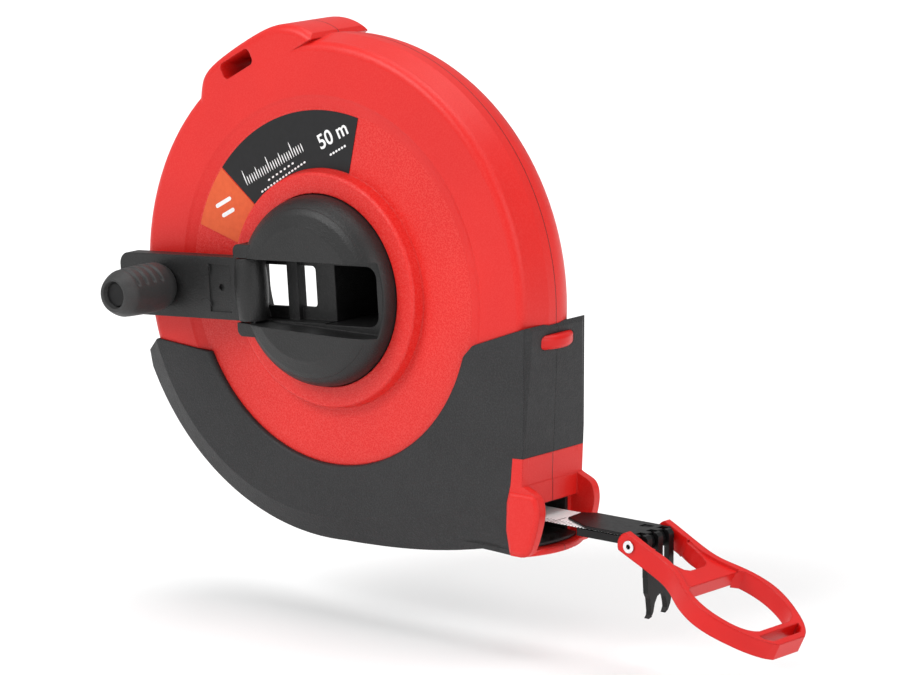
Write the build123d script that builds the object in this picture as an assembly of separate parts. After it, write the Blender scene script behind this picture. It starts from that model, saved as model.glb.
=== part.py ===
"""Closed-case 50 m steel tape measure: round two-shell case, winding drum, folding crank.

Frame: origin on the reel axis at the parting plane of the case, +X towards the tape
mouth, -Y towards the crank side, +Z up. Millimetres.
"""
import math
import os

from build123d import *

# ---- driving dimensions ------------------------------------------------------------
TAPE_W = 13.0
TAPE_T = 0.3
TAPE_Z = -53.3          # height of the straight run of tape through the mouth

CASE_R = 66.6           # rim of the case
RIM_HALF = 3.1          # depth of the flat rim on the front half
SHOULDER_R = 65.3       # front shoulder slopes in to here, then rounds over
SHOULDER_Y = 9.4
FACE_R = 62.8           # outer edge of the flat side face
FACE_Y = 12.0
BACK_ROUND_R = 11.4     # the back half rounds over from the rim to its face
BACK_ROUND_Y = 0.6
BACK_WALL = 1.4
STEP_R = 51.3           # the side face steps down to a shallow panel
PANEL_R = 47.8
PANEL_Y = 11.2
BOSS_Y = 14.6           # faces of the raised hub rings
FRONT_BOSS_R = 31.3
FRONT_OPEN_R = 25.7
REAR_BOSS_R = 52.6
REAR_OPEN_R = 47.2
CAVITY_R = 63.2
CAVITY_Y = 9.2

GUARD_Y = 12.6          # rubber guard stands proud of the side faces
GUARD_INNER_R = 47.1
GUARD_SEAT_R = 64.4     # radius that the guard sits on
GUARD_SEAT_Y = 10.4
NOSE_SEAT_Y = 9.6
GUARD_RIDGE_R = 60.6    # the guard's side slopes back outside this ridge
GUARD_SLOPE = 0.5
SLOPE_REACH = 18.0
HEEL_FADE = 1.8         # degrees that the slope tilts, so that it fades out at the heel
RIDGE_TURN = 9.3        # degrees: where the round ridge turns into the straight one
RIDGE_MIDDLE = (34.0, -55.9)
MIDDLE_SLOPE = 0.42
RIDGE_END = (68.0, -45.6)
NOSE_SLOPE = 0.15
GUARD_GAP = 0.04        # between the guard and the shells

CORE_IN_R = 39.0        # hollow drum core, open right through
CORE_OUT_R = 40.2
COIL_IN_R = 40.5
COIL_OUT_R = 60.0
FLANGE_R = 60.6
FLANGE_IN_Y = 7.4
FLANGE_OUT_Y = 8.6

HUB_R = 25.4
HUB_TOP_R = 21.0
HUB_TOP_Y = -22.9
DRUM_TURN = -4.3        # degrees about Y: how the crank stands at rest
HINGE_X = -21.8
HINGE_Y = -17.8
ARM_LENGTH = 45.2
ARM_HALF_W = 8.4
ARM_HALF_T = 2.2
CHANNEL_HALF_W = 8.7
CHANNEL_Y = -10.4       # floor of the channel
FLOOR_BACK_Y = -9.2
ARM_LAYER_Y = -15.3     # the folded arm lies above this level
LAYER_LOW_W = 11.3      # half width of that room at its far end, on the lower side
LAYER_R = 24.4
BARREL_R = 4.5          # the arm's hinge barrel at its middle
BARREL_END_R = 3.75
KNOB_REACH = 30.0       # hinge to knob axis
KNOB_LENGTH = 19.5
BAR_LEFT = -14.2        # bar across the channel, between the windows
BAR_RIGHT = -10.6
POCKET_LEFT = 1.1       # pocket that takes the knob when the arm is folded in
POCKET_LOW_Z = -8.9
POCKET_HIGH_Z = 7.0
POCKET_SWEEP_R = 41.5   # about the hinge
POCKET_WALL = 1.1
POCKET_BOTTOM_Y = 6.4

PIN_X = 97.5            # ring and claw pin at the tape's end
PIN_Z = -55.0
PIN_R = 1.2
PIN_BORE_R = 1.26
RING_DROP = 26.0        # degrees below level that the pull ring hangs
RING_HALF_T = 2.7
RING_RECESS = 0.7
FITTING_HALF_W = 7.0

LUG_ANGLE = 119.4       # direction of the lanyard lug from the reel axis


# ---- helpers -----------------------------------------------------------------------
def plate(sketch, y_low, y_high):
    """Extrude a sketch drawn in (x, z) between two depths."""
    return extrude(Plane.XZ.offset(-y_high) * sketch, amount=y_high - y_low)


def polygon(*points):
    """Face with straight sides through (x, z) points."""
    return make_face(Polyline(*points, close=True))


def closed(*curves):
    """Face inside a ring of lines, polylines, arcs and splines."""
    return make_face([edge for curve in curves for edge in curve.edges()])


def turned(*points):
    """Solid of revolution about the reel axis from (radius, y) points."""
    return revolve(make_face(Polyline(*points, close=True)), axis=Axis.Y)


def turned_face(*curves):
    """Solid of revolution about the reel axis from a ring of (radius, y) curves."""
    return revolve(closed(*curves), axis=Axis.Y)


def tube(r_in, r_out, y_low, y_high):
    return turned((r_in, y_low), (r_out, y_low), (r_out, y_high), (r_in, y_high))


def disc(radius, y_low, y_high, x=0.0, z=0.0):
    return plate(Pos(x, z) * Circle(radius), y_low, y_high)


def block(x_low, x_high, y_low, y_high, z_low, z_high):
    size = (x_high - x_low, y_high - y_low, z_high - z_low)
    centre = ((x_low + x_high) / 2, (y_low + y_high) / 2, (z_low + z_high) / 2)
    return Pos(*centre) * Box(*size)


def upright(radius, x, y, z_low, z_high):
    """Cylinder parallel to Z."""
    return Pos(x, y, (z_low + z_high) / 2) * Cylinder(radius, z_high - z_low)


def cross_pin(radius, x, z, y_low, y_high):
    """Cylinder parallel to Y."""
    return disc(radius, y_low, y_high, x, z)


def polar(radius, degrees):
    angle = math.radians(degrees)
    return (radius * math.cos(angle), radius * math.sin(angle))


def on_lug(t, distance):
    """Point (x, z) at a distance from the reel axis and t along the lug's flat top."""
    n_x, n_z = polar(1, LUG_ANGLE)
    return (distance * n_x - t * n_z, distance * n_z + t * n_x)


def drum_turned(shape):
    return Rot(0, DRUM_TURN, 0) * shape


def save(shape, name):
    solids = shape.solids()
    whole = solids[0] if len(solids) == 1 else Compound(children=list(solids))
    whole.label = name
    export_step(whole, os.path.join("parts", name + ".step"))


# ---- outlines in (x, z) ------------------------------------------------------------
FACE_TOP = (66.2, -2.4)         # top front corner of the nose
NOSE_TOP = (67.1, -3.4)
NOSE_LOW = (65.8, -36.4)        # where the red mouth starts on the front wall
MOUTH_EDGE = [(62.4, -36.6), (61.8, -43.7), (60.6, -48.4), (60.4, -55.7), (61.6, -61.8)]
FOOT_BACK = (59.6, -63.2)
SOLE = (50.0, -62.9)
SOLE_MID = (23.4, -67.2)
SOLE_LOW = (3.6, -67.9)
HEEL_MID = (-36.6, -59.1)
HEEL_TOP = (-65.7, -29.6)
HEEL_TIP = (-66.1, -25.0)
HEEL_CORNER = (-60.7, -20.8)


def guard_outline():
    arc_left = polar(GUARD_INNER_R, -152)
    arc_low = polar(GUARD_INNER_R, -84)
    arc_right = polar(GUARD_INNER_R, -16)
    edges = [
        ThreePointArc(arc_left, arc_low, arc_right),
        Polyline(arc_right, (49.1, -8.9), FACE_TOP, NOSE_TOP, NOSE_LOW, *MOUTH_EDGE),
        Polyline(MOUTH_EDGE[-1], FOOT_BACK, SOLE),
        ThreePointArc(SOLE, SOLE_MID, SOLE_LOW),
        ThreePointArc(SOLE_LOW, HEEL_MID, HEEL_TOP),
        Polyline(HEEL_TOP, HEEL_TIP, HEEL_CORNER, arc_left),
    ]
    return closed(*edges)


def nose_core(inset):
    """Nose box of the shells behind the guard, inset for its hollow."""
    return polygon(
        (55, -5.2 - inset),
        (64.8 - inset, -5.2 - inset),
        (63.4 - inset, -37.2),
        (62.0 - inset, -61.6 + inset),
        (30, -61.6 + inset),
        (18, -50),
        (45, -33),
    )


def mouth_profile():
    """Side view of the red mouth with its two ears."""
    ear_root = (65.5, -43.6)
    chin = (65.6, -62.2)
    ear = [(67.6, -44.5), (70.2, -45.9), (71.3, -48.6), (70.7, -54.0), (69.2, -58.8), (67.9, -61.2)]
    back = Polyline(chin, *reversed(MOUTH_EDGE), NOSE_LOW, ear_root)
    return closed(Spline(ear_root, *ear, chin), back)


# ---- case --------------------------------------------------------------------------
def round_over(radius, y):
    """Radius of the back's rounding at a depth, for a rounding of that radius."""
    return CASE_R - BACK_ROUND_R + math.sqrt(radius**2 - (y - BACK_ROUND_Y) ** 2)


def boss_profile(sign, boss_r, open_r, foot_y):
    """(radius, y) line from the foot of a hub ring over its rounded top to its opening."""
    soft = 0.9
    corner = boss_r - soft + soft * math.sqrt(0.5)
    corner_y = BOSS_Y - soft + soft * math.sqrt(0.5)
    return [
        Line((boss_r + 0.5, sign * foot_y), (boss_r, sign * (BOSS_Y - soft))),
        ThreePointArc((boss_r, sign * (BOSS_Y - soft)), (corner, sign * corner_y), (boss_r - soft, sign * BOSS_Y)),
        Line((boss_r - soft, sign * BOSS_Y), (open_r, sign * BOSS_Y)),
        Line((open_r, sign * BOSS_Y), (open_r, sign * CAVITY_Y)),
    ]


def front_wall():
    """Front half of the round case: flat rim, sloped shoulder, stepped face, hub ring."""
    return turned_face(
        Polyline((CAVITY_R, 0), (CASE_R, 0), (CASE_R, -RIM_HALF), (SHOULDER_R, -SHOULDER_Y)),
        ThreePointArc((SHOULDER_R, -SHOULDER_Y), (64.5, -11.25), (FACE_R, -FACE_Y)),
        Polyline(
            (FACE_R, -FACE_Y), (STEP_R, -FACE_Y), (STEP_R - 0.9, -FACE_Y + 0.3),
            (PANEL_R, -PANEL_Y), (FRONT_BOSS_R + 0.5, -PANEL_Y),
        ),
        *boss_profile(-1, FRONT_BOSS_R, FRONT_OPEN_R, PANEL_Y),
        Polyline(
            (FRONT_OPEN_R, -CAVITY_Y), (CAVITY_R - 0.8, -CAVITY_Y), (CAVITY_R, -CAVITY_Y + 0.8),
            (CAVITY_R, 0),
        ),
    )


def back_wall():
    """Back half of the round case: one large rounding from the rim to the face."""
    middle = 7.5
    face_r = round_over(BACK_ROUND_R, FACE_Y - 0.02)
    inner = BACK_ROUND_R - BACK_WALL
    inner_r = round_over(inner, CAVITY_Y)
    step_y = BACK_ROUND_Y + math.sqrt(inner**2 - (CAVITY_R - CASE_R + BACK_ROUND_R) ** 2)
    return turned_face(
        Polyline((CAVITY_R, 0), (CASE_R, 0), (CASE_R, BACK_ROUND_Y)),
        ThreePointArc(
            (CASE_R, BACK_ROUND_Y), (round_over(BACK_ROUND_R, middle), middle), (face_r, FACE_Y - 0.02)
        ),
        Polyline((face_r, FACE_Y - 0.02), (REAR_BOSS_R + 0.5, FACE_Y - 0.02)),
        *boss_profile(1, REAR_BOSS_R, REAR_OPEN_R, FACE_Y - 0.02),
        Line((REAR_OPEN_R, CAVITY_Y), (inner_r, CAVITY_Y)),
        ThreePointArc((inner_r, CAVITY_Y), (round_over(inner, 8.0), 8.0), (CAVITY_R, step_y)),
        Line((CAVITY_R, step_y), (CAVITY_R, 0)),
    )


def lug_block(half_y):
    """Swelling at the top with soft edges, for the lanyard slot."""
    crest = [
        (15.2, 65.4), (13.8, 66.8), (11.0, 68.2), (6.0, 69.1), (0.0, 69.5), (-7.0, 69.6),
        (-13.8, 69.2), (-18.2, 68.2), (-21.6, 66.6), (-24.0, 64.9),
    ]
    start, end = on_lug(18.6, 61.0), on_lug(-27.0, 61.6)
    middle = [on_lug(t, distance) for t, distance in crest]
    outline = closed(
        Spline(start, *middle, end),
        Polyline(end, on_lug(-27.0, 60.0), on_lug(18.6, 60.0), start),
    )
    body = plate(outline, -half_y, half_y)
    rim = [e for e in body.edges().filter_by(GeomType.BSPLINE)]
    return fillet(rim, 2.4)


def lanyard_slot():
    slot_low, slot_high, t_low, t_high = 62.8, 67.3, -5.9, 5.6
    corners = [(t_low, slot_low), (t_high, slot_low), (t_high, slot_high), (t_low, slot_high)]
    cutter = plate(polygon(*[on_lug(t, d) for t, d in corners]), -20, 20)
    return fillet(cutter.edges().filter_by(Axis.Y), 1.4)


def lug_root():
    """Wall under the lanyard slot, so that it doesn't open into the case."""
    corners = [(-7.4, 61.2), (7.1, 61.2), (7.1, 66), (-7.4, 66)]
    return plate(polygon(*[on_lug(t, d) for t, d in corners]), -10, 10)


def case_solid():
    """Both shells in one, before they are parted at the middle."""
    ring = front_wall() + back_wall()
    lug = lug_block(FACE_Y) - disc(CAVITY_R, -CAVITY_Y, CAVITY_Y)
    body = ring + lug + lug_root()
    nose = plate(nose_core(0), -GUARD_SEAT_Y, GUARD_SEAT_Y)
    mouth = plate(mouth_profile(), -GUARD_Y, GUARD_Y)
    ears = plate(mouth_profile() & polygon((55, -45.2), (75, -45.2), (75, -65), (55, -65)), -13.4, 13.4)
    ears = fillet(ears.faces().filter_by(Axis.Y).edges(), 1.5)
    guard_zone = plate(guard_outline(), -20, 20)
    under_guard = guard_zone - guard_seat(0)
    body = body + nose - under_guard + mouth + ears + lower_lip()
    hollow = plate(Sketch() + Circle(CAVITY_R) + nose_core(1.4), -CAVITY_Y, CAVITY_Y)
    keep = lug_root() + plate(mouth_profile(), -20, 20)
    body = body - (hollow - keep)
    between_ears = block(65.7, 80, -10.15, 10.15, -60.4, -30)
    between_ears += block(63.6, 70, -10.15, 10.15, -60.4, -49.4)
    passage = block(50, 66, -CAVITY_Y, CAVITY_Y, -60.2, -49.4)
    return body - between_ears - passage - lanyard_slot()


def lower_lip():
    """Red lip that bulges forward between the feet of the ears."""
    outline = closed(
        ThreePointArc((66.2, -12.8), (69.8, 0), (66.2, 12.8)), Polyline((66.2, 12.8), (62, 12.8), (62, -12.8), (66.2, -12.8))
    )
    body = Pos(0, 0, -62.2) * extrude(outline, amount=1.8)
    return fillet(body.edges().filter_by(GeomType.CIRCLE), 0.6)


def guard_seat(gap):
    """What lies under the guard: the set-back round case and the core of the nose."""
    reach = GUARD_SEAT_Y + gap
    round_part = turned_face(
        Polyline((0, reach - 0.01), (0, -reach), (GUARD_SEAT_R + gap, -reach)),
        Polyline((GUARD_SEAT_R + gap, -reach), (GUARD_SEAT_R + gap, BACK_ROUND_Y + 4.0)),
        ThreePointArc(
            (GUARD_SEAT_R + gap, BACK_ROUND_Y + 4.0),
            (62.9 + gap, BACK_ROUND_Y + 7.2),
            (60.4 + gap, reach - 0.01),
        ),
        Line((60.4 + gap, reach - 0.01), (0, reach - 0.01)),
    )
    return round_part + plate(nose_core(-gap), -NOSE_SEAT_Y - gap, NOSE_SEAT_Y + gap)


def front_shell(case):
    return case & block(-90, 90, -30, 0, -90, 90)


def rear_shell(case):
    return case & block(-90, 90, 0, 30, -90, 90)


def slope_section(ridge, outward, slope):
    """Triangle of waste that starts at a point of the guard's ridge and widens outwards."""
    level = -GUARD_Y - 0.05
    far_x = ridge[0] + SLOPE_REACH * outward[0]
    far_z = ridge[1] + SLOPE_REACH * outward[1]
    return make_face(
        Polyline(
            (ridge[0], level, ridge[1]),
            (far_x, level, far_z),
            (far_x, level + SLOPE_REACH * slope, far_z),
            close=True,
        )
    )


def guard_slope():
    """Waste outside the ridge: a tilted cone behind, then ruled flats out to the nose."""
    turn = math.radians(RIDGE_TURN)
    outward = (math.sin(turn), -math.cos(turn))
    start = (GUARD_RIDGE_R * outward[0], GUARD_RIDGE_R * outward[1])
    cone = turned(
        (GUARD_RIDGE_R, -GUARD_Y - 0.05),
        (GUARD_RIDGE_R + SLOPE_REACH, -GUARD_Y - 0.05),
        (GUARD_RIDGE_R + SLOPE_REACH, -GUARD_Y - 0.05 + SLOPE_REACH * GUARD_SLOPE),
    )
    behind = Rot(0, -RIDGE_TURN, 0) * block(-120, 0.5, -30, 30, -120, 20)
    through_ridge = Axis((0, -GUARD_Y, 0), (outward[0], 0, outward[1]))
    cone = (cone & behind).rotate(through_ridge, -HEEL_FADE)
    first = slope_section(start, outward, GUARD_SLOPE)
    middle = slope_section(RIDGE_MIDDLE, (0, -1), MIDDLE_SLOPE)
    last = slope_section(RIDGE_END, (0, -1), NOSE_SLOPE)
    return cone + loft([first, middle], ruled=True) + loft([middle, last], ruled=True)


def guard_half(case, sign):
    """Soft rubber guard over the lower half and the nose, sloping back towards the sole."""
    body = plate(guard_outline(), -GUARD_Y, 0) - guard_slope()
    side = body.faces().filter_by(Plane.XZ).sort_by(Axis.Y)[0]
    lip = [e for e in side.edges().filter_by(GeomType.CIRCLE) if e.radius < GUARD_INNER_R + 0.5]
    body = fillet(lip, 1.0)
    front_cut = polygon((66.0, -13.2), (66.0, -12.0), (67.9, -9.0), (70, -9.0), (70, -13.2))
    wedge = Pos(0, 0, -20) * extrude(front_cut, amount=40, both=True)
    body -= wedge
    if sign > 0:
        body = mirror(body, about=Plane.XZ)
    return body - guard_seat(GUARD_GAP) - case - ring_catch()


def mouth_guide():
    """Slippery black liner that the tape runs through, with a ramp for a lower lip."""
    half_out, half_in = CAVITY_Y - 0.1, 8.2
    shell = block(46, 63.5, -half_out, half_out, -60.1, -49.5)
    lip = plate(polygon((60, -60.1), (69, -60.1), (69, -59.5), (63, -58.9), (60, -58.9)), -half_out, half_out)
    lip &= upright(33.0, 67.6 - 33.0, 0, -70, -50)
    bore = block(40, 70, -half_in, half_in, -58.9, -50.4)
    return shell + lip - bore


def ring_catch():
    """Small spindle on the nose that the folded pull ring rests against."""
    half, z, x = 7.2, -7.0, 66.4
    outline = closed(
        ThreePointArc((x, -half), (x + 3.0, 0), (x, half)), Line((x, half), (x, -half))
    )
    body = Pos(0, 0, z - 1.9) * extrude(outline, amount=3.8)
    return fillet(body.faces().filter_by(Axis.Z).edges().filter_by(GeomType.CIRCLE), 1.3)


SCREW_ANGLES = (14, 60, 100, 146, 190)
SCREW_CIRCLE_R = 55.4
SCREW_HEAD_R = 1.9


def case_screws():
    """Five thread-forming screws driven from the back."""
    screws = []
    for angle in SCREW_ANGLES:
        x, z = polar(SCREW_CIRCLE_R, angle)
        head = cross_pin(SCREW_HEAD_R - 0.1, x, z, FACE_Y - 1.4, FACE_Y - 0.5)
        screws.append(head + cross_pin(1.0, x, z, 9.3, FACE_Y - 1.3))
    return screws


def screw_holes():
    holes = []
    for angle in SCREW_ANGLES:
        x, z = polar(SCREW_CIRCLE_R, angle)
        holes.append(cross_pin(SCREW_HEAD_R, x, z, FACE_Y - 1.4, 20) + cross_pin(1.05, x, z, 9, 20))
    return holes


def sector(r_in, r_out, start, end, y_low, y_high):
    middle = (start + end) / 2
    outline = closed(
        ThreePointArc(polar(r_out, start), polar(r_out, middle), polar(r_out, end)),
        Line(polar(r_out, end), polar(r_in, end)),
        ThreePointArc(polar(r_in, end), polar(r_in, middle), polar(r_in, start)),
        Line(polar(r_in, start), polar(r_out, start)),
    )
    return plate(outline, y_low, y_high)


def label(start, end):
    return sector(32.0, 47.2, start, end, -PANEL_Y - 0.15, -PANEL_Y)


# ---- drum --------------------------------------------------------------------------
def window_relief(y_low, y_high, x_low):
    return block(x_low, -3.0, y_low, y_high, -8.4, 8.4)


def pocket_space():
    """Room for the knob as the arm folds in, swept about the hinge."""
    room = block(POCKET_LEFT, 30, -30, POCKET_BOTTOM_Y, POCKET_LOW_Z, POCKET_HIGH_Z)
    room &= upright(POCKET_SWEEP_R, HINGE_X, HINGE_Y, -20, 20)
    return fillet([e for e in room.edges().filter_by(GeomType.CIRCLE)], 3.2)


def pocket_cup():
    """Walls and floor of the pocket."""
    wall = POCKET_WALL
    cup = block(
        POCKET_LEFT - wall, 30, CHANNEL_Y, POCKET_BOTTOM_Y + wall, POCKET_LOW_Z - wall, POCKET_HIGH_Z + wall
    )
    cup &= upright(POCKET_SWEEP_R + wall, HINGE_X, HINGE_Y, -20, 20)
    return fillet([e for e in cup.edges().filter_by(GeomType.CIRCLE)], 4.2)


def dome():
    """Outer shape of the hub, with an almost flat top."""
    back_y = FLOOR_BACK_Y + 0.6
    side_y = -14.6
    return turned_face(
        Polyline((0, HUB_TOP_Y), (0, back_y), (HUB_R, back_y), (HUB_R, side_y)),
        ThreePointArc((HUB_R, side_y), (24.4, -18.9), (HUB_TOP_R, HUB_TOP_Y + 0.9)),
        Polyline((HUB_TOP_R, HUB_TOP_Y + 0.9), (17.6, HUB_TOP_Y), (0, HUB_TOP_Y)),
    )


def hub_windows():
    """Two windows in the channel's floor, either side of the bar."""
    outer = block(-22.8, BAR_LEFT, -12, 0, -5.6, 5.5)
    inner = block(BAR_RIGHT - 1, -5.5, -12, 0, -5.4, 5.6)
    inner = fillet([e for e in inner.edges().filter_by(Axis.Y) if (e @ 0.5).X > -6], 1.2)
    return outer + inner


def arm_layer():
    """Room for the folded arm between the lobes; the lower lobe's edge falls away."""
    sides = polygon(
        (-30, -CHANNEL_HALF_W), (-24, -CHANNEL_HALF_W), (25, -LAYER_LOW_W), (25, CHANNEL_HALF_W),
        (-30, CHANNEL_HALF_W),
    )
    room = plate(sides, -30, ARM_LAYER_Y)
    return room - (tube(LAYER_R, 40, -30, 0) & block(0, 30, -30, 0, -20, 20))


def hub_front():
    """Domed hub with two lobes, the crank's channel, windows and knob pocket."""
    lugs = block(-24.3, -17, -21.6, -15.0, -12.3, 12.3)
    lugs = fillet([e for e in lugs.edges().filter_by(Axis.Y) if (e @ 0.5).X < -20], 1.8)
    channel = disc(23.7, -30, CHANNEL_Y)
    channel &= block(-30, POCKET_LEFT + 0.2, -30, 0, -CHANNEL_HALF_W, CHANNEL_HALF_W)
    lobe_hollow = disc(22.6, -20.9, 0) - block(-30, 30, -30, 5, -12.3, 10.5)
    lobe_hollow -= block(-30, -14.5, -30, 5, -30, 30)
    bar = block(BAR_LEFT, BAR_RIGHT, -12.0, FLOOR_BACK_Y + 0.4, -CHANNEL_HALF_W, CHANNEL_HALF_W)
    body = dome() + lugs - channel - arm_layer() - lobe_hollow - hub_windows()
    body = body + pocket_cup() - pocket_space() - window_relief(FLOOR_BACK_Y, 0, -24.2) + bar
    body -= block(-30, -20, -30, HINGE_Y + BARREL_R + 0.4, -CHANNEL_HALF_W, CHANNEL_HALF_W)
    body -= upright(1.02, HINGE_X, HINGE_Y, -30, 30)
    for z in (-15.6, 15.6):
        body += disc(3.0, -21.5, FLOOR_BACK_Y + 0.6, 0, z)
        body -= disc(1.3, -19, 0, 0, z)
    return body


def flange_front():
    flange = tube(20.0, FLANGE_R, -FLANGE_OUT_Y, -FLANGE_IN_Y)
    web = disc(20.5, -FLANGE_OUT_Y, -FLANGE_IN_Y)
    body = flange + web - window_relief(-12, 0, -28.6)
    body -= block(POCKET_LEFT - 1.3, 22.9, -12, 0, POCKET_LOW_Z - 1.3, POCKET_HIGH_Z + 1.3)
    for z in (-15.6, 15.6):
        body -= disc(1.7, -12, 0, 0, z)
    return body


def flange_rear():
    return tube(CORE_IN_R, FLANGE_R, FLANGE_IN_Y, FLANGE_OUT_Y)


def drum_core():
    return tube(CORE_IN_R, CORE_OUT_R, -FLANGE_IN_Y, FLANGE_IN_Y)


def rear_hub_ring():
    """Funnel that closes the drum's open core towards the back."""
    return turned(
        (CORE_IN_R, FLANGE_OUT_Y),
        (46.8, FLANGE_OUT_Y),
        (46.8, 14.0),
        (46.3, 14.4),
        (45.7, 14.4),
    )


def tape_coil():
    return tube(COIL_IN_R, COIL_OUT_R, -TAPE_W / 2, TAPE_W / 2)


def tape_anchor():
    """Steel clip that holds the tape's inner end in the core."""
    return block(37.9, 38.7, -5, 5, -4, 4) - disc(1.5, -9, 9, 0, 0)


def hub_screws():
    screws = []
    for z in (-15.6, 15.6):
        screws.append(disc(1.25, -18, -FLANGE_IN_Y + 0.4, 0, z) + disc(2.8, -FLANGE_IN_Y, -5.6, 0, z))
    return screws


def hinge_pin():
    return upright(1.0, HINGE_X, HINGE_Y, -11.9, 11.9)


# ---- crank and knob ----------------------------------------------------------------
def hinge_barrel():
    """Barrel round the hinge pin, fullest at its middle."""
    profile = closed(
        ThreePointArc((BARREL_END_R, -ARM_HALF_W), (BARREL_R, 0), (BARREL_END_R, ARM_HALF_W)),
        Polyline((BARREL_END_R, ARM_HALF_W), (0, ARM_HALF_W), (0, -ARM_HALF_W), (BARREL_END_R, -ARM_HALF_W)),
    )
    return Pos(HINGE_X, HINGE_Y, 0) * revolve(Plane.XZ * profile, axis=Axis.Z)


def crank_arm():
    end_x = HINGE_X - ARM_LENGTH
    bar = block(end_x, HINGE_X, HINGE_Y - ARM_HALF_T, HINGE_Y + ARM_HALF_T, -ARM_HALF_W, ARM_HALF_W)
    ends = [e for e in bar.edges().filter_by(Axis.Y) if (e @ 0.5).X < end_x + 1]
    bar = fillet(ends, 3.2)
    bar += hinge_barrel()
    front_y = HINGE_Y - ARM_HALF_T
    recess = block(-35.0, -27.3, front_y - 0.5, front_y + 0.5, -6.4, 6.4)
    dimple = cross_pin(0.9, -31.0, 0.2, front_y, front_y + 1.4)
    seat = cross_pin(2.33, HINGE_X - KNOB_REACH, 0, front_y - 1, HINGE_Y + 5)
    return bar - recess - dimple - seat - upright(1.06, HINGE_X, HINGE_Y, -20, 20)


def knob_axle():
    """Shouldered screw that the knob turns on, riveted at the back of the arm."""
    x = HINGE_X - KNOB_REACH
    back = HINGE_Y + ARM_HALF_T
    front = HINGE_Y - ARM_HALF_T
    shaft = cross_pin(2.3, x, 0, front - KNOB_LENGTH + 2.0, back)
    head = cross_pin(3.1, x, 0, front - KNOB_LENGTH + 1.3, front - KNOB_LENGTH + 2.2)
    return shaft + head


def knob_grip():
    x = HINGE_X - KNOB_REACH
    base = -0.3
    tip = -KNOB_LENGTH
    profile = make_face(
        Polyline(
            (2.36, base),
            (5.6, base),
            (6.5, base - 1.4),
            (6.75, base - 6),
            (6.45, tip + 3.4),
            (5.6, tip + 1.2),
            (4.6, tip),
            (3.6, tip),
            (3.4, tip + 2.3),
            (2.36, tip + 2.3),
            close=True,
        )
    )
    return Pos(x, HINGE_Y - ARM_HALF_T, 0) * revolve(profile, axis=Axis.Y)


# ---- tape end ----------------------------------------------------------------------
def tape_blade():
    """Tape from the coil, over the mouth's lip and into the end fitting."""
    start_x, start_z = polar(COIL_OUT_R + 0.4, -80.0)
    half = TAPE_T / 2
    outline = polygon(
        (start_x, start_z - half),
        (45, TAPE_Z - half),
        (93.0, TAPE_Z - half),
        (93.0, TAPE_Z + half),
        (45, TAPE_Z + half),
        (start_x, start_z + half),
    )
    body = plate(outline, -TAPE_W / 2, TAPE_W / 2)
    for x in (80.0, 90.0):
        body -= upright(0.95, x, 0, -60, -50)
    return body


def jaw_outline(x_low, corner, x_high):
    half = FITTING_HALF_W
    return polygon(
        (x_low, -half + corner),
        (x_low + corner * 0.7, -half),
        (x_high, -half),
        (x_high, half),
        (x_low + corner * 0.7, half),
        (x_low, half - corner),
    )


JAW_TOP = TAPE_Z + 0.8
FINGER_Y = (-4.6, 0.0, 4.6)
FINGER_HALF = 1.0
FINGER_R = 1.75


def finger_slots(x_low, x_high, z_low, z_high):
    """Gaps in the end fitting that the claw's fingers turn in."""
    half = FINGER_HALF + 0.2
    slots = block(x_low, x_high, -half, half, z_low, z_high)
    for y in (FINGER_Y[0], FINGER_Y[2]):
        slots += block(x_low, x_high, y - half, y + half, z_low, z_high)
    return slots


def upper_jaw():
    """Thin cover plate, cut askew at the back, with gaps for the fingers."""
    outline = polygon((72.0, -1.6), (81.8, -6.9), (98.6, -6.9), (98.6, 7.0), (75.0, 7.0), (71.4, 4.8))
    body = Pos(0, 0, TAPE_Z + TAPE_T / 2) * extrude(outline, amount=JAW_TOP - TAPE_Z - TAPE_T / 2)
    body = chamfer(body.faces().sort_by(Axis.Z)[-1].edges(), 0.2)
    dish = block(92.0, 95.2, 2.0, 4.6, JAW_TOP - 0.3, JAW_TOP + 1)
    relief = block(94.6, 100, -FITTING_HALF_W - 1, FITTING_HALF_W + 1, TAPE_Z - 2, TAPE_Z + 0.3)
    for x in (80.0, 90.0):
        body -= upright(0.9, x, 0, -60, -50)
    return body - dish - relief - finger_slots(96.6, 101, -60, -50)


def lower_jaw():
    low = TAPE_Z - TAPE_T / 2
    body = Pos(0, 0, low - 1.9) * extrude(jaw_outline(76.6, 3.4, 96.6), amount=1.9)
    cheek = cross_pin(2.1, PIN_X, PIN_Z, -FITTING_HALF_W, FITTING_HALF_W)
    body += cheek & block(90, 110, -8, 8, -60, TAPE_Z + 0.3)
    body -= finger_slots(94.9, 101, -60, -50)
    for x in (80.0, 90.0):
        body -= upright(0.9, x, 0, -60, -50)
    return body - cross_pin(PIN_R, PIN_X, PIN_Z, -12, 12)


def fitting_rivets():
    rivets = []
    for x in (80.0, 90.0):
        shank = upright(0.9, x, 0, TAPE_Z - 2.05, JAW_TOP)
        rivets.append(shank + upright(1.5, x, 0, TAPE_Z - 2.35, TAPE_Z - 2.05))
    return rivets


def ring_pin():
    """Hollow rivet through the fitting and both arms of the ring."""
    tube_part = cross_pin(PIN_R, PIN_X, PIN_Z, -9.7, 9.7)
    flares = cross_pin(1.6, PIN_X, PIN_Z, -9.75, -9.4) + cross_pin(1.6, PIN_X, PIN_Z, 9.4, 9.75)
    return tube_part + flares - cross_pin(0.65, PIN_X, PIN_Z, -12, 12)


RING_LENGTH = 48.0
RING_STATIONS = [(14.5, 9.7), (20.4, 12.9), (26.0, 15.1), (29.0, 15.5), (31.8, 15.3), (39.2, 12.8), (44.0, 10.0)]
HOLE_START = 20.8
HOLE_END = 41.8


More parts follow.
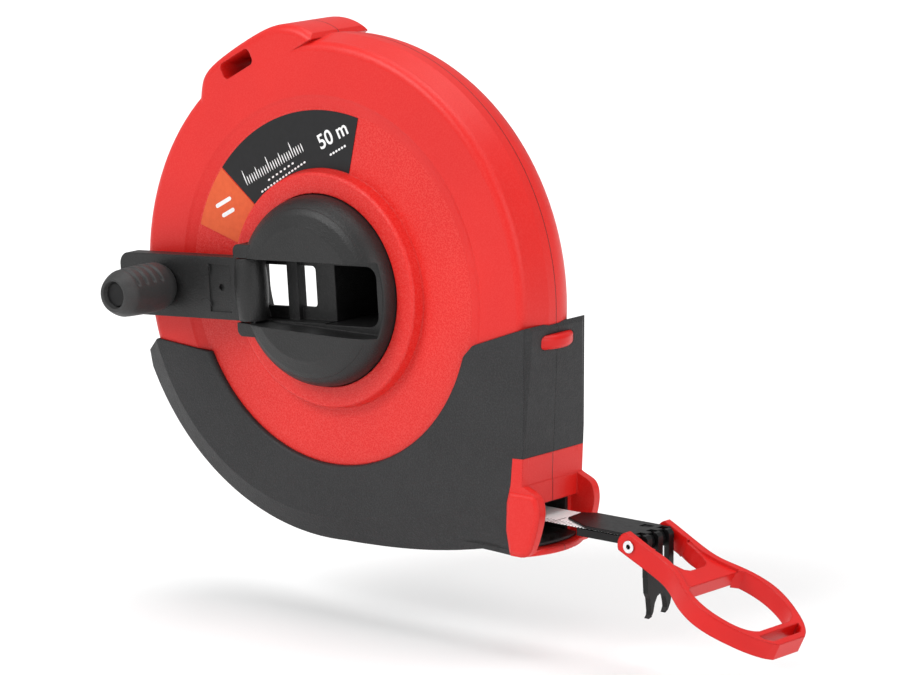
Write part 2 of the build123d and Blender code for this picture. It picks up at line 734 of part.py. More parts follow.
def ring_hole():
    """Half of the finger hole."""
    side = Spline((22.2, 12.0), (26.0, 13.2), (30.0, 13.5), (34.2, 12.8), (39.4, 10.3), (41.4, 7.6))
    return closed(
        side,
        Polyline((41.4, 7.6), (HOLE_END, 6.4), (HOLE_END, 0), (HOLE_START, 0), (HOLE_START, 9.6), (22.2, 12.0)),
    )


def ring_window():
    """Half of the gap between the arms, that the claw folds through."""
    return polygon((-6, 0), (15.6, 0), (15.5, 3.2), (14.6, 4.8), (12.0, 5.9), (9.0, 6.5), (6.4, 6.7), (4.9, 7.25), (-6, 7.25))


def ring_web_recess():
    """Half of the web's shallow recess on each face, inside the rails."""
    side = Spline((6.0, 7.4), (14.5, 7.7), (19.6, 10.2), (HOLE_START + 0.1, 11.0))
    return closed(side, Polyline((HOLE_START + 0.1, 11.0), (HOLE_START + 0.1, 0), (6.0, 0), (6.0, 7.4)))


def pull_ring():
    top = Spline((0.0, 9.3), (8.0, 9.0), *RING_STATIONS, (46.9, 7.2))
    tip = Polyline((46.9, 7.2), (RING_LENGTH, 5.4), (RING_LENGTH, 0.0))
    back = Polyline((RING_LENGTH, 0.0), (-4.0, 0.0), (-4.0, 9.3), (0.0, 9.3))
    half = closed(top, tip, back)
    slot = polygon((43.3, 0), (46.2, 0), (46.2, 5.8), (44.8, 7.8), (43.3, 8.4))
    face = half - ring_hole() - slot
    face += mirror(face, about=Plane.XZ)
    body = extrude(face, amount=RING_HALF_T, both=True)
    recess = ring_web_recess()
    recess += mirror(recess, about=Plane.XZ)
    for sign in (-1, 1):
        body -= Pos(0, 0, sign * (RING_HALF_T - RING_RECESS / 2)) * extrude(recess, amount=RING_RECESS / 2 + 0.01, both=True)
    window = ring_window()
    window += mirror(window, about=Plane.XZ)
    body -= extrude(window, amount=5, both=True)
    round_end = cross_pin(3.7, 0, 0, -20, 20) + block(0, 60, -20, 20, -5, 5)
    body &= round_end
    taper = polygon((10, -RING_HALF_T), (60, -RING_HALF_T + 0.42), (60, -6), (10, -6))
    for sign in (-1, 1):
        body -= Rot(0, 0, 0) * (plate(taper, -20, 20) if sign < 0 else mirror(plate(taper, -20, 20), about=Plane.XY))
    body -= cross_pin(PIN_BORE_R, 0, 0, -20, 20)
    return Pos(PIN_X, 0, PIN_Z) * Rot(0, RING_DROP, 0) * body


def finger_profile():
    """Side view of a finger: it hooks round the pin and hangs down in front of it."""
    return polygon(
        (0, FINGER_R), (1.5, 2.45), (2.3, 2.3), (3.0, 1.5), (3.0, -8.6), (1.5, -8.6), (1.4, -2.0), (0, -FINGER_R)
    )


def claw():
    """Forked claw with hooked tips that hangs from three fingers on the pin."""
    front, back = 3.0, 1.5
    outline = make_face(
        Polyline(
            (-5.6, -7.8), (5.6, -7.8), (5.4, -12.0), (5.0, -14.5), (4.3, -17.0), (3.4, -18.4), (2.2, -19.0),
            (2.9, -17.7), (2.8, -16.6), (2.3, -14.8), (1.7, -13.7), (0.6, -13.2), (-1.2, -14.0), (-2.2, -15.6),
            (-2.8, -17.8), (-3.6, -19.0), (-4.7, -19.3), (-4.0, -18.4), (-3.9, -17.4), (-4.4, -14.0), (-5.2, -12.6),
            close=True,
        )
    )
    body = Pos(back, 0, 0) * extrude(Plane.YZ * outline, amount=front - back)
    for y in FINGER_Y:
        low, high = y - FINGER_HALF, y + FINGER_HALF
        body += cross_pin(FINGER_R, 0, 0, low, high) + plate(finger_profile(), low, high)
    body -= cross_pin(PIN_BORE_R, 0, 0, -20, 20)
    return Pos(PIN_X, 0, PIN_Z) * body


# ---- all nodes ---------------------------------------------------------------------
def main():
    os.makedirs("parts", exist_ok=True)
    case = case_solid()
    back = rear_shell(case)
    for hole in screw_holes():
        back -= hole
    save(front_shell(case), "front_shell")
    save(back, "rear_shell")
    save(guard_half(case, -1), "front_guard")
    save(guard_half(case, 1), "rear_guard")
    save(mouth_guide(), "mouth_guide")
    save(ring_catch(), "ring_catch")
    save(Compound(children=case_screws()), "case_screws")
    save(label(78, 143), "label_dark")
    save(label(143.4, 165), "label_orange")

    save(drum_turned(hub_front()), "hub_front")
    save(drum_turned(flange_front()), "flange_front")
    save(drum_turned(flange_rear()), "flange_rear")
    save(drum_turned(drum_core()), "drum_core")
    save(drum_turned(rear_hub_ring()), "rear_hub_ring")
    save(drum_turned(tape_coil()), "tape_coil")
    save(drum_turned(tape_anchor()), "tape_anchor")
    save(drum_turned(Compound(children=hub_screws())), "hub_screws")
    save(drum_turned(hinge_pin()), "hinge_pin")

    save(drum_turned(crank_arm()), "crank_arm")
    save(drum_turned(knob_axle()), "knob_axle")
    save(drum_turned(knob_grip()), "knob_grip")

    save(tape_blade(), "tape_blade")
    save(upper_jaw(), "upper_jaw")
    save(lower_jaw(), "lower_jaw")
    save(Compound(children=fitting_rivets()), "fitting_rivets")
    save(ring_pin(), "ring_pin")
    save(pull_ring(), "pull_ring")
    save(claw(), "claw")


main()
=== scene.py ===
"""Looks of the long tape measure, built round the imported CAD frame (Blender 4.5)."""
import math

import bpy
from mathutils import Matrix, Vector


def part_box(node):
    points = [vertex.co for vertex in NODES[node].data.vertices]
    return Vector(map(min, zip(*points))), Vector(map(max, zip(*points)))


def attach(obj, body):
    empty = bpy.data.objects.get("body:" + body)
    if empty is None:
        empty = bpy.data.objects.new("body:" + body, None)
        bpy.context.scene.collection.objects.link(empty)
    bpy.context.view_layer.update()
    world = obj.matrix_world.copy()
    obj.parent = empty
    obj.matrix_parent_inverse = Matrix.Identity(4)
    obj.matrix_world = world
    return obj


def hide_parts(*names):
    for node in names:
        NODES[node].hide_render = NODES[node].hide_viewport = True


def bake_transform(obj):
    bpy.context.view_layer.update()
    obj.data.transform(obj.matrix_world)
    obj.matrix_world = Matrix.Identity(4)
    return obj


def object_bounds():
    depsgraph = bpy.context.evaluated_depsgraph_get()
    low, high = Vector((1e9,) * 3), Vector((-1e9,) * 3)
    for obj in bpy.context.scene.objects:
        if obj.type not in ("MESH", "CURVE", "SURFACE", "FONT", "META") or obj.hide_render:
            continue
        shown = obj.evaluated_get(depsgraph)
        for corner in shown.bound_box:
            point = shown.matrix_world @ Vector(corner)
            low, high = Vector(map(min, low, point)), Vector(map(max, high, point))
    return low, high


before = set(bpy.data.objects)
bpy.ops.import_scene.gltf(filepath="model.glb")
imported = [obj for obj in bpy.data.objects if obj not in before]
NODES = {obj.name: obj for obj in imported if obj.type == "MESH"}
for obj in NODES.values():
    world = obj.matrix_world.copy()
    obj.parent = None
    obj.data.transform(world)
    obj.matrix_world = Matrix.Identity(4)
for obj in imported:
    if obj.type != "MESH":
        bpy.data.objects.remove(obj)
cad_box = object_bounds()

# ---- camera ------------------------------------------------------------------------
CAMERA_AT = Vector((0.7989, -0.9391, 0.2315))
CAMERA_AIM = Vector((0.0260, 0.0067, -0.0126))
CAMERA_LENS = 189.6         # on a 36 mm wide sensor


def make_camera():
    """The camera of the main picture."""
    data = bpy.data.cameras.new("camera")
    data.lens = CAMERA_LENS
    data.sensor_width = 36.0
    data.clip_start = 0.01
    data.clip_end = 50.0
    camera = bpy.data.objects.new("camera", data)
    camera.location = CAMERA_AT
    camera.rotation_mode = "QUATERNION"
    camera.rotation_quaternion = (CAMERA_AIM - CAMERA_AT).to_track_quat("-Z", "Y")
    bpy.context.scene.collection.objects.link(camera)
    bpy.context.scene.camera = camera


# ---- shader building ---------------------------------------------------------------
class Shader:
    """A material with short ways to add and join its nodes."""

    def __init__(self, name, roughness, metallic=0.0, specular=0.5):
        self.material = bpy.data.materials.new(name)
        self.material.use_nodes = True
        self.tree = self.material.node_tree
        self.bsdf = self.tree.nodes["Principled BSDF"]
        self.bsdf.inputs["Metallic"].default_value = metallic
        self.bsdf.inputs["Roughness"].default_value = roughness
        self.bsdf.inputs["Specular IOR Level"].default_value = specular
        self.place = self.add("ShaderNodeTexCoord").outputs["Object"]
        self.axes = None

    def add(self, kind, **settings):
        """A new node, with its settings."""
        node = self.tree.nodes.new(kind)
        for key, value in settings.items():
            setattr(node, key, value)
        return node

    def join(self, output, socket):
        self.tree.links.new(output, socket)

    def math(self, operation, first, second=0.0):
        """One sum, each side a socket or a fixed number."""
        node = self.add("ShaderNodeMath", operation=operation)
        for socket, value in zip(node.inputs, (first, second)):
            if isinstance(value, (int, float)):
                socket.default_value = value
            else:
                self.join(value, socket)
        return node.outputs["Value"]

    def along(self, axis):
        """The place along X, Y or Z."""
        if self.axes is None:
            self.axes = self.add("ShaderNodeSeparateXYZ")
            self.join(self.place, self.axes.inputs["Vector"])
        return self.axes.outputs[axis]

    def reel_radius(self):
        """Distance from the reel axis."""
        parts = [self.along(axis) for axis in ("X", "Z")]
        squares = [self.math("MULTIPLY", part, part) for part in parts]
        return self.math("SQRT", self.math("ADD", *squares))

    def noise(self, size, detail=3.0):
        """Noise whose features are about size metres across."""
        node = self.add("ShaderNodeTexNoise")
        node.inputs["Scale"].default_value = 1.0 / size
        node.inputs["Detail"].default_value = detail
        self.join(self.place, node.inputs["Vector"])
        return node.outputs["Fac"]

    def grains(self, size):
        """Distance from the middle of moulded grains about size metres across."""
        node = self.add("ShaderNodeTexVoronoi", feature="F1")
        node.inputs["Scale"].default_value = 1.0 / size
        self.join(self.place, node.inputs["Vector"])
        return node.outputs["Distance"]

    def ramp(self, source, stops):
        """Colours from (position, colour) stops."""
        node = self.add("ShaderNodeValToRGB")
        elements = node.color_ramp.elements
        elements[0].position, elements[0].color = stops[0]
        elements[1].position, elements[1].color = stops[-1]
        for position, color in stops[1:-1]:
            elements.new(position).color = color
        self.join(source, node.inputs["Fac"])
        return node.outputs["Color"]

    def spread(self, source, low, high, from_low=0.0, from_high=1.0):
        """Map from_low..from_high to low..high."""
        node = self.add("ShaderNodeMapRange")
        node.inputs["From Min"].default_value = from_low
        node.inputs["From Max"].default_value = from_high
        node.inputs["To Min"].default_value = low
        node.inputs["To Max"].default_value = high
        self.join(source, node.inputs["Value"])
        return node.outputs["Result"]

    def mix(self, factor, first, second):
        """Blend of two colours, each a socket or a fixed colour."""
        node = self.add("ShaderNodeMix", data_type="RGBA")
        self.join(factor, node.inputs["Factor"])
        sockets = [s for s in node.inputs if s.type == "RGBA"]
        for socket, value in zip(sockets, (first, second)):
            if isinstance(value, tuple):
                socket.default_value = value
            else:
                self.join(value, socket)
        return [s for s in node.outputs if s.type == "RGBA"][0]

    def color(self, source):
        self.join(source, self.bsdf.inputs["Base Color"])

    def rough(self, source):
        self.join(source, self.bsdf.inputs["Roughness"])

    def bump(self, *layers, soft_edge=0.0):
        """Bump from (height source, distance in metres) layers, over edges rounded by soft_edge."""
        normal = None
        if soft_edge:
            edge = self.add("ShaderNodeBevel", samples=4)
            edge.inputs["Radius"].default_value = soft_edge
            normal = edge.outputs["Normal"]
        for height, distance in layers:
            node = self.add("ShaderNodeBump")
            node.inputs["Strength"].default_value = 1.0
            node.inputs["Distance"].default_value = distance
            self.join(height, node.inputs["Height"])
            if normal is not None:
                self.join(normal, node.inputs["Normal"])
            normal = node.outputs["Normal"]
        self.join(normal, self.bsdf.inputs["Normal"])


def rgb(red, green, blue):
    """Linear colour from the 0..255 values that a screen shows."""
    def linear(value):
        value /= 255.0
        return value / 12.92 if value <= 0.04045 else ((value + 0.055) / 1.055) ** 2.4

    return (linear(red), linear(green), linear(blue), 1.0)


# ---- materials ---------------------------------------------------------------------
SEAM_HALF = 0.00011         # half width of the dark line where the two halves meet
SEAM_DEPTH = 0.0001
GRAIN_PANEL_R = 0.0478      # the side panel inside this is spark-grained
CORE_SIDE_FROM = 0.0093     # the core's sides stand at 9.6 mm
CORE_STRIP_TOP = -0.0600
CORE_STRIP_X = (0.0400, 0.0585)


def seam(shader):
    """1 on the parting line between the two halves."""
    distance = shader.math("ABSOLUTE", shader.along("Y"))
    return shader.math("LESS_THAN", distance, SEAM_HALF)


def under_guard(shader):
    """1 on the strip of the shell's core that stands level with the guard near the nose."""
    aside = shader.math("GREATER_THAN", shader.math("ABSOLUTE", shader.along("Y")), CORE_SIDE_FROM)
    low = shader.math("LESS_THAN", shader.along("Z"), CORE_STRIP_TOP)
    ahead = shader.math("GREATER_THAN", shader.along("X"), CORE_STRIP_X[0])
    behind = shader.math("LESS_THAN", shader.along("X"), CORE_STRIP_X[1])
    beside = shader.math("MULTIPLY", aside, low)
    between = shader.math("MULTIPLY", ahead, behind)
    return shader.math("MULTIPLY", beside, between)


def red_case():
    """Red moulded plastic: grained side panel, smoother rim, dark parting line.

    The strip of the core that stands level with the guard takes the guard's colour.
    """
    shader = Shader("red_case", 0.4, specular=0.38)
    patches = shader.noise(0.03, 2.0)
    tone = shader.ramp(patches, [(0.3, rgb(208, 20, 15)), (0.7, rgb(216, 26, 19))])
    speck = shader.spread(shader.grains(0.00042), 0.0, 0.16, 0.30, 0.75)
    in_panel = shader.math("LESS_THAN", shader.reel_radius(), GRAIN_PANEL_R)
    fleck = shader.math("MULTIPLY", speck, shader.spread(in_panel, 0.35, 1.0))
    toned = shader.mix(fleck, tone, rgb(250, 120, 110))
    line = seam(shader)
    parted = shader.mix(line, toned, rgb(96, 8, 6))
    shader.color(shader.mix(under_guard(shader), parted, rgb(31, 31, 32)))
    shader.rough(shader.spread(shader.noise(0.004), 0.36, 0.47))
    depth = shader.math("MULTIPLY", shader.grains(0.00045), shader.spread(in_panel, 0.25, 1.0))
    groove = shader.math("SUBTRACT", 1.0, line)
    fine = shader.noise(0.0003)
    shader.bump((depth, 0.00007), (fine, 0.00003), (groove, SEAM_DEPTH), soft_edge=0.0005)
    return shader.material


def red_glossy():
    """Smoother red plastic of the ring and catch."""
    shader = Shader("red_glossy", 0.36, specular=0.34)
    tone = shader.noise(0.012, 2.0)
    shader.color(shader.ramp(tone, [(0.3, rgb(198, 11, 7)), (0.7, rgb(206, 15, 10))]))
    shader.rough(shader.spread(shader.noise(0.003), 0.32, 0.42))
    grain = shader.grains(0.0005)
    fine = shader.noise(0.0006)
    shader.bump((grain, 0.00001), (fine, 0.00001), soft_edge=0.0006)
    return shader.material


def guard_rubber():
    """Dark grey rubber, finely grained, with the parting line."""
    shader = Shader("guard_rubber", 0.6, specular=0.4)
    tone = shader.noise(0.02, 4.0)
    flecks = shader.spread(shader.grains(0.0004), 0.0, 0.25, 0.35, 0.8)
    base = shader.ramp(tone, [(0.3, rgb(28, 28, 29)), (0.7, rgb(34, 34, 35))])
    toned = shader.mix(flecks, base, rgb(66, 66, 68))
    line = seam(shader)
    shader.color(shader.mix(line, toned, rgb(18, 18, 19)))
    shader.rough(shader.spread(shader.noise(0.003), 0.5, 0.66))
    groove = shader.math("SUBTRACT", 1.0, line)
    grain = shader.grains(0.0005)
    fine = shader.noise(0.0003)
    shader.bump((grain, 0.00007), (fine, 0.00003), (groove, SEAM_DEPTH), soft_edge=0.0006)
    return shader.material


def black_plastic(name="black_plastic", low=20, high=27, roughness=0.42, grain=0.0004):
    """Satin black plastic; low and high are the screen values of its tones."""
    shader = Shader(name, roughness, specular=0.42)
    patches = shader.noise(0.012, 3.0)
    base = shader.ramp(patches, [(0.3, rgb(low, low, low)), (0.7, rgb(high, high, high))])
    dust = shader.spread(shader.grains(grain), 0.0, 0.2, 0.4, 0.85)
    pale = high + 26
    shader.color(shader.mix(dust, base, rgb(pale, pale, pale + 1)))
    shader.rough(shader.spread(shader.noise(0.002), roughness - 0.06, roughness + 0.1))
    grains = shader.grains(grain)
    fine = shader.noise(grain * 0.5)
    shader.bump((grains, 0.00005), (fine, 0.00002), soft_edge=0.0005)
    return shader.material


def dark_steel():
    """Blackened steel."""
    shader = Shader("dark_steel", 0.42, specular=0.26)
    tone = shader.noise(0.002, 4.0)
    shader.color(shader.ramp(tone, [(0.35, rgb(6, 6, 7)), (0.65, rgb(14, 14, 15))]))
    shader.rough(shader.spread(shader.noise(0.001), 0.3, 0.48))
    shader.bump((shader.noise(0.0004, 4.0), 0.00002), soft_edge=0.00025)
    return shader.material


def bright_steel():
    """Bright nickel."""
    shader = Shader("bright_steel", 0.22, metallic=1.0)
    tone = shader.noise(0.001, 3.0)
    shader.color(shader.ramp(tone, [(0.3, rgb(206, 206, 208)), (0.7, rgb(232, 232, 234))]))
    shader.rough(shader.spread(shader.noise(0.0006), 0.16, 0.32))
    shader.bump((shader.noise(0.0003, 3.0), 0.000008), soft_edge=0.0002)
    return shader.material


def film(name, dark, light, roughness=0.42):
    """Printed film or ink, faintly mottled."""
    shader = Shader(name, roughness, specular=0.35)
    tone = shader.noise(0.0012, 4.0)
    shader.color(shader.ramp(tone, [(0.3, dark), (0.7, light)]))
    shader.rough(shader.spread(shader.noise(0.0015), roughness - 0.04, roughness + 0.08))
    shader.bump((shader.noise(0.0006, 2.0), 0.000012))
    return shader.material


TAPE_HALF_W = 0.0065


def tape_paint():
    """White tape coating with millimetre lines along one edge, made from the place along X."""
    shader = Shader("tape_paint", 0.4)

    def lines(pitch, thickness, edge):
        """1 on a line every pitch, as far in from the near edge as edge says."""
        shifted = shader.math("ADD", shader.along("X"), 1.0)
        cell = shader.math("MODULO", shader.math("DIVIDE", shifted, pitch), 1.0)
        on_line = shader.math("LESS_THAN", cell, thickness / pitch)
        at_edge = shader.math("LESS_THAN", shader.along("Y"), edge - TAPE_HALF_W)
        return shader.math("MULTIPLY", on_line, at_edge)

    marks = shader.math(
        "MAXIMUM", lines(0.001, 0.00026, 0.0030), lines(0.005, 0.00034, 0.0046)
    )
    marks = shader.math("MAXIMUM", marks, lines(0.01, 0.0004, 0.0064))
    tone = shader.noise(0.01, 3.0)
    white = shader.ramp(tone, [(0.3, rgb(242, 246, 246)), (0.7, rgb(250, 252, 252))])
    shader.color(shader.mix(marks, white, rgb(22, 22, 24)))
    shader.rough(shader.spread(shader.noise(0.002), 0.34, 0.48))
    shader.bump((shader.noise(0.0008, 2.0), 0.00001))
    return shader.material


WINDING_PITCH = 0.00026     # shown spacing of the wound tape's edges


def coil_edges():
    """Edges of the wound tape: fine rings about the reel axis."""
    shader = Shader("coil_edges", 0.42)
    rings = shader.math("FRACT", shader.math("DIVIDE", shader.reel_radius(), WINDING_PITCH))
    ringed = shader.math("MULTIPLY", rings, 0.5)
    mottled = shader.math("MULTIPLY", shader.noise(0.002), 0.5)
    shade = shader.math("ADD", ringed, mottled)
    shader.color(shader.ramp(shade, [(0.2, rgb(120, 120, 118)), (0.8, rgb(224, 224, 221))]))
    shader.rough(shader.spread(shader.noise(0.002), 0.36, 0.5))
    shader.bump((rings, 0.00003))
    return shader.material


def assign(material, *names):
    """Give each named CAD node the material."""
    for name in names:
        mesh = NODES[name].data
        mesh.materials.clear()
        mesh.materials.append(material)


def dress_cad_nodes(black, bright, dark):
    """Give every CAD node its material."""
    glossy = red_glossy()
    assign(red_case(), "front_shell", "rear_shell")
    assign(glossy, "ring_catch", "pull_ring")
    assign(guard_rubber(), "front_guard", "rear_guard")
    assign(black, "hub_front", "rear_hub_ring", "crank_arm", "mouth_guide")
    assign(black, "flange_front", "flange_rear", "drum_core")
    assign(dark, "upper_jaw", "lower_jaw", "fitting_rivets", "claw", "knob_axle", "case_screws")
    assign(bright, "ring_pin", "hinge_pin", "tape_anchor", "hub_screws")
    assign(coil_edges(), "tape_coil")
    assign(film("charcoal_film", rgb(8, 8, 10), rgb(14, 14, 17)), "label_dark")
    assign(film("orange_film", rgb(214, 84, 38), rgb(222, 92, 44)), "label_orange")


# ---- mesh helpers ------------------------------------------------------------------
def mesh_piece(name, points, faces, material, body, smooth=True):
    """A new piece that rides on body, or on none if body is None."""
    mesh = bpy.data.meshes.new(name)
    mesh.from_pydata([tuple(p) for p in points], [], faces)
    mesh.update()
    mesh.materials.append(material)
    if smooth:
        mesh.polygons.foreach_set("use_smooth", [True] * len(mesh.polygons))
    piece = bpy.data.objects.new(name, mesh)
    bpy.context.scene.collection.objects.link(piece)
    if body:
        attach(piece, body)
    return piece


def grid_faces(rows, columns, closed):
    """Quads of a rows by columns grid of points; closed joins the last column to the first."""
    faces = []
    for row in range(rows - 1):
        for column in range(columns if closed else columns - 1):
            beyond = (column + 1) % columns
            near = row * columns
            far = near + columns
            faces.append((near + column, near + beyond, far + beyond, far + column))
    return faces


def slab(outline, place, thickness):
    """Points and faces of a flat piece: outline in 2-D, put in space by place(u, v, height)."""
    count = len(outline)
    points = [place(u, v, height) for height in (0.0, thickness) for u, v in outline]
    faces = [tuple(range(count - 1, -1, -1)), tuple(range(count, 2 * count))]
    for i in range(count):
        j = (i + 1) % count
        faces.append((i, j, count + j, count + i))
    return points, faces


# ---- tape --------------------------------------------------------------------------
TAPE_STEPS = 220
TAPE_ACROSS = 9
TAPE_HALF_T = 0.00008
TAPE_CUP = 0.00012          # the tape's edges stand a little above its middle
TAPE_LEVEL = -0.0533        # height of its straight run
FLAT_FROM = 0.045           # the straight run starts here
IN_JAW = 0.0004             # the strip stops this far inside the CAD blade's end
ABOVE_COIL = 0.00015


def tape_path(t):
    """Height and place along X of the free tape, for t from 0 at the coil to 1 in the fitting."""
    low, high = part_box("tape_blade")
    x = low.x + (high.x - IN_JAW - low.x) * t
    if x >= FLAT_FROM:
        return x, TAPE_LEVEL
    share = (FLAT_FROM - x) / (FLAT_FROM - low.x)
    return x, TAPE_LEVEL + (low.z + ABOVE_COIL - TAPE_LEVEL) * share


def make_tape(paint):
    """The tape, which stretches between the case and the end fitting."""
    low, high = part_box("tape_blade")
    half_w = (high.y - low.y) / 2
    points = []
    ring = [(-1.0 + 2.0 * i / (TAPE_ACROSS - 1), 1.0) for i in range(TAPE_ACROSS)]
    ring += [(side, -1.0) for side, _ in reversed(ring)]
    for step in range(TAPE_STEPS):
        x, z = tape_path(step / (TAPE_STEPS - 1))
        for side, face in ring:
            lift = TAPE_CUP * (side * side - 0.5)
            points.append((x, side * half_w, z + lift + face * TAPE_HALF_T))
    count = len(ring)
    faces = grid_faces(TAPE_STEPS, count, True)
    last = (TAPE_STEPS - 1) * count
    faces.append(tuple(range(count)))
    faces.append(tuple(last + i for i in range(count - 1, -1, -1)))
    strip = mesh_piece("tape_strip", points, faces, paint, None, smooth=False)
    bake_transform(strip)
    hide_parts("tape_blade")


# ---- knob --------------------------------------------------------------------------
KNOB_SIDES = 160
KNOB_STANDS = 0.0195        # the knob's tip stands this far off the arm's face
KNOB_ROWS = 120
GROOVE_SHARES = (0.33, 0.48, 0.63, 0.78)    # of the way from the arm to the tip
GROOVE_HALF = 0.03          # share of the length
GROOVE_DEPTH = 0.0008
GROOVE_CENTRES = (64.0, 244.0)              # degrees round the knob
GROOVE_SPAN = 42.0          # degrees to each side of its centre
GROOVE_FADE = 9.0           # of which this much fades out
KNOB_BORE_R = 0.00236
RECESS_R = 0.0036           # recess for the screw's head
RECESS_DEEP = 0.0022


def knob_radius(share, half):
    """Radius of the knob at a share of its length, from the arm to the tip."""
    swell = math.sin(math.pi * min(1.0, share * 1.12)) * 0.045
    base = 0.80 + 0.20 * min(1.0, share / 0.14) ** 0.5
    tip = 1.0 - 0.26 * max(0.0, (share - 0.80) / 0.20) ** 1.7
    return half * (base * tip * (0.955 + swell) - 0.035 * share)


def groove_depth(angle, share):
    """Depth of the short finger grooves across two sides of the knob."""
    degrees = math.degrees(angle)
    away = min(abs((degrees - centre + 180.0) % 360.0 - 180.0) for centre in GROOVE_CENTRES)
    fade = min(1.0, max(0.0, (GROOVE_SPAN - away) / GROOVE_FADE))
    across = min(abs(share - middle) for middle in GROOVE_SHARES) / GROOVE_HALF
    valley = max(0.0, 1.0 - across**2) ** 0.5
    return GROOVE_DEPTH * fade * valley


def make_knob(material):
    """The knob with its grooves and the recess for its screw."""
    low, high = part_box("knob_grip")
    centre_x, centre_z = (low.x + high.x) / 2, (low.z + high.z) / 2
    half = min(high.x - low.x, high.z - low.z) / 2
    length = high.y - low.y
    turns = [2 * math.pi * side / KNOB_SIDES for side in range(KNOB_SIDES)]
    rows = []
    for row in range(KNOB_ROWS):
        share = row / (KNOB_ROWS - 1)
        radii = [knob_radius(share, half) - groove_depth(angle, share) for angle in turns]
        rows.append((high.y - share * length, radii))
    tip_r = knob_radius(1.0, half)
    inner = [
        (low.y, RECESS_R + 0.35 * (tip_r - RECESS_R)),
        (low.y + 0.00008, RECESS_R + 0.00015),
        (low.y + 0.0004, RECESS_R),
        (low.y + RECESS_DEEP, RECESS_R - 0.0001),
        (low.y + RECESS_DEEP, KNOB_BORE_R),
        (high.y, KNOB_BORE_R),
    ]
    rows += [(y, [radius] * KNOB_SIDES) for y, radius in inner]
    rows.append(rows[0])
    points = []
    for y, radii in rows:
        for angle, radius in zip(turns, radii):
            x = centre_x + radius * math.cos(angle)
            z = centre_z + radius * math.sin(angle)
            points.append((x, y, z))
    faces = grid_faces(len(rows), KNOB_SIDES, True)
    piece = mesh_piece("knob_cover", points, faces, material, "knob")
    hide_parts("knob_grip")


# ---- print on the labels -----------------------------------------------------------
PRINT_LIFT = 0.00003
PRINT_T = 0.00004
READING = math.radians(29.4)    # the print's lines rise this much to the right
FIGURE_SHARE = 0.73         # a figure's height as a share of the type size
BOLDER = 0.00009            # how far each stroke's edge is moved out
LENGTH_AT = (0.0012, 0.0408)                # x and z of the printed length
LENGTH_H = 0.0040
SCALE_FROM = (-0.0300, 0.0270)              # x and z of the ends of the printed scale
SCALE_TO = (-0.0096, 0.0368)
SCALE_DROP = 0.0022
SCALE_MARKS = 25
DASH_ROWS = (               # x and z of each end, and how many dashes
    ((-0.0210, 0.0268), (-0.0127, 0.0320), 7),
    ((-0.0234, 0.0234), (-0.0086, 0.0327), 15),
)
ORANGE_BARS = (             # x, z and width
    (-0.0373, 0.0190, 0.0062),
    (-0.0356, 0.0164, 0.0050),
)


def label_place(u, v, height):
    """A point of the print: u along its lines, v up the page, from the reel axis."""
    x = u * math.cos(READING) - v * math.sin(READING)
    z = u * math.sin(READING) + v * math.cos(READING)
    return x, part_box("label_dark")[0].y - PRINT_LIFT + PRINT_T - height, z


def to_page(x, z):
    """The place on the page, along the lines and up it, of a point x, z."""
    return (
        x * math.cos(READING) + z * math.sin(READING),
        -x * math.sin(READING) + z * math.cos(READING),
    )


def slabs_piece(name, slabs, material):
    """One piece of the case, made of several slabs."""
    points, faces = [], []
    for some_points, some_faces in slabs:
        start = len(points)
        points += some_points
        faces += [tuple(start + i for i in face) for face in some_faces]
    return mesh_piece(name, points, faces, material, "case", smooth=False)


def bar(u, v, width, height):
    """Outline of a printed bar with rounded ends, centred on (u, v)."""
    corner = min(width, height) / 2
    outline = []
    for centre, start in ((width / 2 - corner, -90), (-(width / 2 - corner), 90)):
        for step in range(7):
            angle = math.radians(start + 30 * step)
            rise = corner * math.sin(angle) * height / (2 * corner)
            outline.append((u + centre + corner * math.cos(angle), v + rise))
    return outline


def print_text(name, body, centre, height, material):
    """Printed figures, as thin as ink."""
    curve = bpy.data.curves.new(name, "FONT")
    curve.body = body
    curve.size = height / FIGURE_SHARE
    curve.offset = BOLDER
    curve.align_x = "CENTER"
    curve.align_y = "CENTER"
    curve.resolution_u = 6
    source = bpy.data.objects.new(name + "_source", curve)
    bpy.context.scene.collection.objects.link(source)
    bpy.context.view_layer.update()
    mesh = source.to_mesh()
    flat = [(v.co.x + centre[0], v.co.y + centre[1]) for v in mesh.vertices]
    faces = [tuple(p.vertices) for p in mesh.polygons]
    source.to_mesh_clear()
    bpy.data.objects.remove(source)
    points = [label_place(u, v, PRINT_T) for u, v in flat]
    return mesh_piece(name, points, faces, material, "case", smooth=False)


def scale_mark_height(index):
    """Long every tenth mark, middling every fifth."""
    if index % 10 == 0:
        return 0.0044
    return 0.0034 if index % 5 == 0 else 0.0024


def under_length():
    """Short dashes under the printed length."""
    u, v = to_page(0.0030, 0.0371)
    return [bar(u + 0.0011 * i - 0.0028, v, 0.0008, 0.0006) for i in range(6)]


def scale_marks():
    """The printed scale."""
    (from_u, from_v), (to_u, to_v) = to_page(*SCALE_FROM), to_page(*SCALE_TO)
    foot = (from_v + to_v) / 2 - SCALE_DROP
    marks = []
    for i in range(SCALE_MARKS):
        height = scale_mark_height(i)
        u = from_u + (to_u - from_u) * i / (SCALE_MARKS - 1)
        marks.append(bar(u, foot + height / 2, 0.00034, height))
    return marks


def dash_row(first, last, count):
    """Dashes from first to last, which stand for a line of small print."""
    (from_u, from_v), (to_u, to_v) = to_page(*first), to_page(*last)
    dashes = []
    for i in range(count):
        share = i / (count - 1)
        u = from_u + (to_u - from_u) * share
        v = from_v + (to_v - from_v) * share
        dashes.append(bar(u, v, 0.00082, 0.0005))
    return dashes


